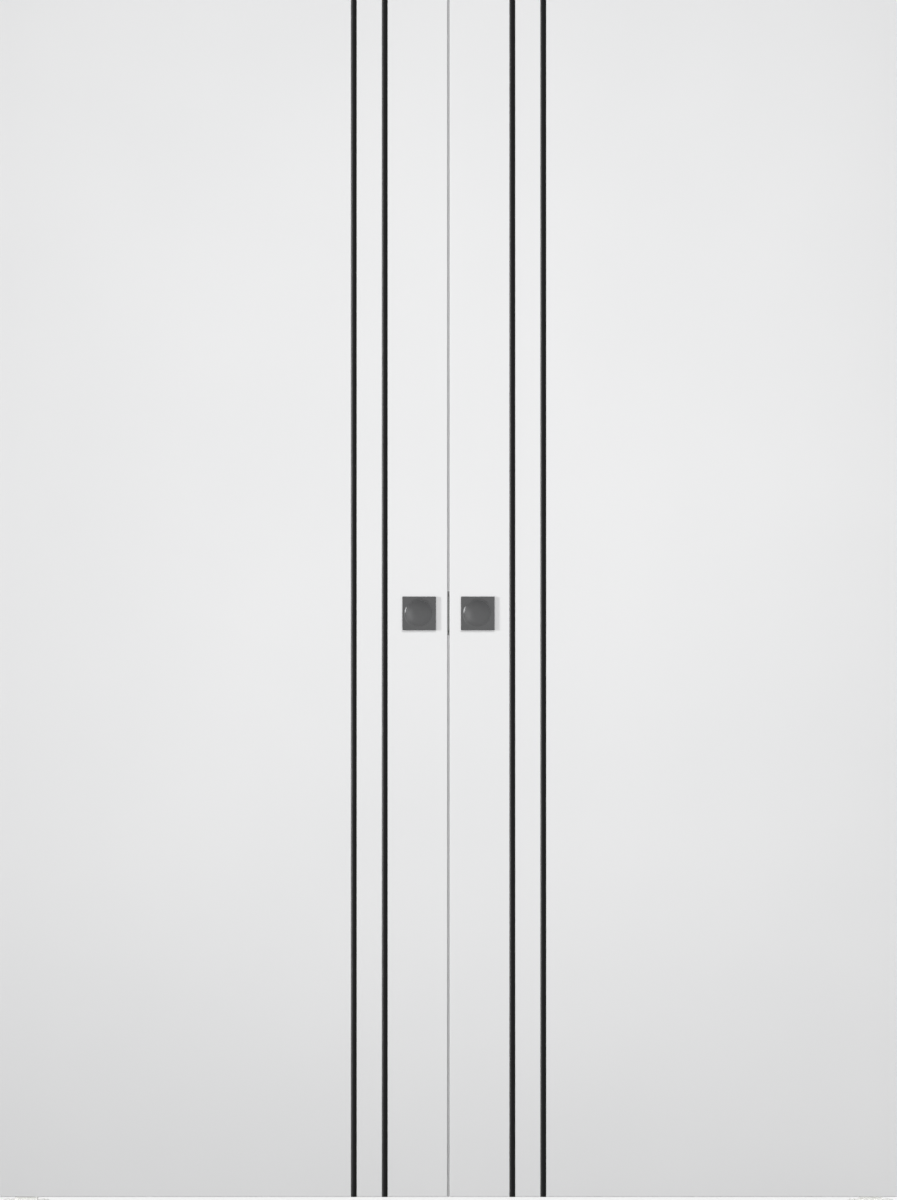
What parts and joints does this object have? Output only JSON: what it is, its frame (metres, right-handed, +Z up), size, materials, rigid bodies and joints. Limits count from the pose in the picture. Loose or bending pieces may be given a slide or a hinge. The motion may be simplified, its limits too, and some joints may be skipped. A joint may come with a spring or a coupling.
{
  "type": "double sliding door",
  "caption": "Bi-parting sliding door with flush white leaves, black inlaid strips and square flush pulls, hung by rolling trolleys from a head track with floor guides.",
  "frame": {"origin": "finished floor, on the meeting line of the leaves, at the middle of their thickness", "axes": "+X along the opening to the right as seen from the front, +Y to the rear, +Z up"},
  "size_m": [2.9988, 0.0464, 2.0913],
  "materials": {
    "white_lacquer": "satin white lacquer",
    "chipboard": "raw chipboard",
    "black_strip": "black satin",
    "dark_pull": "dark satin",
    "grey_seal": "matt",
    "zinc_steel": "zinc plated",
    "black_nylon": "matt",
    "white_nylon": "matt",
    "satin_aluminium": "satin anodised",
    "rubber": "matt"
  },
  "bodies": {
    "head_rail": {"track_rail": "satin_aluminium", "centre_stop": "rubber", "left_end_stop": "zinc_steel", "right_end_stop": "zinc_steel", "left_end_buffer": "rubber", "right_end_buffer": "rubber", "left_floor_guide": "white_nylon", "right_floor_guide": "white_nylon"},
    "left_leaf": {"left_front_skin": "white_lacquer", "left_rear_skin": "white_lacquer", "left_meeting_stile": "white_lacquer", "left_outer_stile": "white_lacquer", "left_top_rail": "white_lacquer", "left_bottom_rail": "white_lacquer", "left_core": "chipboard", "left_front_inner_strip": "black_strip", "left_front_outer_strip": "black_strip", "left_rear_inner_strip": "black_strip", "left_rear_outer_strip": "black_strip", "left_front_pull": "dark_pull", "left_rear_pull": "dark_pull", "left_edge_pull": "dark_pull", "left_lower_seal": "grey_seal", "left_upper_seal": "grey_seal", "left_inner_hanger_plate": "zinc_steel", "left_outer_hanger_plate": "zinc_steel", "left_inner_hanger_bolt": "zinc_steel", "left_outer_hanger_bolt": "zinc_steel", "left_inner_trolley": "zinc_steel", "left_outer_trolley": "zinc_steel"},
    "left_inner_near_wheels": {"left_inner_near_wheelset": "black_nylon"},
    "left_inner_far_wheels": {"left_inner_far_wheelset": "black_nylon"},
    "left_outer_near_wheels": {"left_outer_near_wheelset": "black_nylon"},
    "left_outer_far_wheels": {"left_outer_far_wheelset": "black_nylon"},
    "right_leaf": {"right_front_skin": "white_lacquer", "right_rear_skin": "white_lacquer", "right_meeting_stile": "white_lacquer", "right_outer_stile": "white_lacquer", "right_top_rail": "white_lacquer", "right_bottom_rail": "white_lacquer", "right_core": "chipboard", "right_front_inner_strip": "black_strip", "right_front_outer_strip": "black_strip", "right_rear_inner_strip": "black_strip", "right_rear_outer_strip": "black_strip", "right_front_pull": "dark_pull", "right_rear_pull": "dark_pull", "right_edge_pull": "dark_pull", "right_lower_seal": "grey_seal", "right_upper_seal": "grey_seal", "right_inner_hanger_plate": "zinc_steel", "right_outer_hanger_plate": "zinc_steel", "right_inner_hanger_bolt": "zinc_steel", "right_outer_hanger_bolt": "zinc_steel", "right_inner_trolley": "zinc_steel", "right_outer_trolley": "zinc_steel"},
    "right_inner_near_wheels": {"right_inner_near_wheelset": "black_nylon"},
    "right_inner_far_wheels": {"right_inner_far_wheelset": "black_nylon"},
    "right_outer_near_wheels": {"right_outer_near_wheelset": "black_nylon"},
    "right_outer_far_wheels": {"right_outer_far_wheelset": "black_nylon"}
  },
  "joints": [
    {"name": "left_slide", "type": "slide", "parent": "head_rail", "child": "left_leaf", "axis": [-1, 0, 0], "range_m": [0, 0.66]},
    {"name": "left_inner_near_spin", "type": "hinge", "parent": "left_leaf", "child": "left_inner_near_wheels", "pos_m": [-0.0397, 0, 2.0767], "axis": [0, -1, 0], "continuous": true},
    {"name": "left_inner_far_spin", "type": "hinge", "parent": "left_leaf", "child": "left_inner_far_wheels", "pos_m": [-0.0837, 0, 2.0767], "axis": [0, -1, 0], "continuous": true},
    {"name": "left_outer_near_spin", "type": "hinge", "parent": "left_leaf", "child": "left_outer_near_wheels", "pos_m": [-0.68, 0, 2.0767], "axis": [0, -1, 0], "continuous": true},
    {"name": "left_outer_far_spin", "type": "hinge", "parent": "left_leaf", "child": "left_outer_far_wheels", "pos_m": [-0.724, 0, 2.0767], "axis": [0, -1, 0], "continuous": true},
    {"name": "right_slide", "type": "slide", "parent": "head_rail", "child": "right_leaf", "axis": [1, 0, 0], "range_m": [0, 0.66]},
    {"name": "right_inner_near_spin", "type": "hinge", "parent": "right_leaf", "child": "right_inner_near_wheels", "pos_m": [0.0397, 0, 2.0767], "axis": [0, 1, 0], "continuous": true},
    {"name": "right_inner_far_spin", "type": "hinge", "parent": "right_leaf", "child": "right_inner_far_wheels", "pos_m": [0.0837, 0, 2.0767], "axis": [0, 1, 0], "continuous": true},
    {"name": "right_outer_near_spin", "type": "hinge", "parent": "right_leaf", "child": "right_outer_near_wheels", "pos_m": [0.68, 0, 2.0767], "axis": [0, 1, 0], "continuous": true},
    {"name": "right_outer_far_spin", "type": "hinge", "parent": "right_leaf", "child": "right_outer_far_wheels", "pos_m": [0.724, 0, 2.0767], "axis": [0, 1, 0], "continuous": true}
  ],
  "couplings": [
    {"joint": "left_inner_near_spin", "follows": "left_slide", "rad_per_m": 105.26},
    {"joint": "left_inner_far_spin", "follows": "left_slide", "rad_per_m": 105.26},
    {"joint": "left_outer_near_spin", "follows": "left_slide", "rad_per_m": 105.26},
    {"joint": "left_outer_far_spin", "follows": "left_slide", "rad_per_m": 105.26},
    {"joint": "right_inner_near_spin", "follows": "right_slide", "rad_per_m": 105.26},
    {"joint": "right_inner_far_spin", "follows": "right_slide", "rad_per_m": 105.26},
    {"joint": "right_outer_near_spin", "follows": "right_slide", "rad_per_m": 105.26},
    {"joint": "right_outer_far_spin", "follows": "right_slide", "rad_per_m": 105.26}
  ]
}
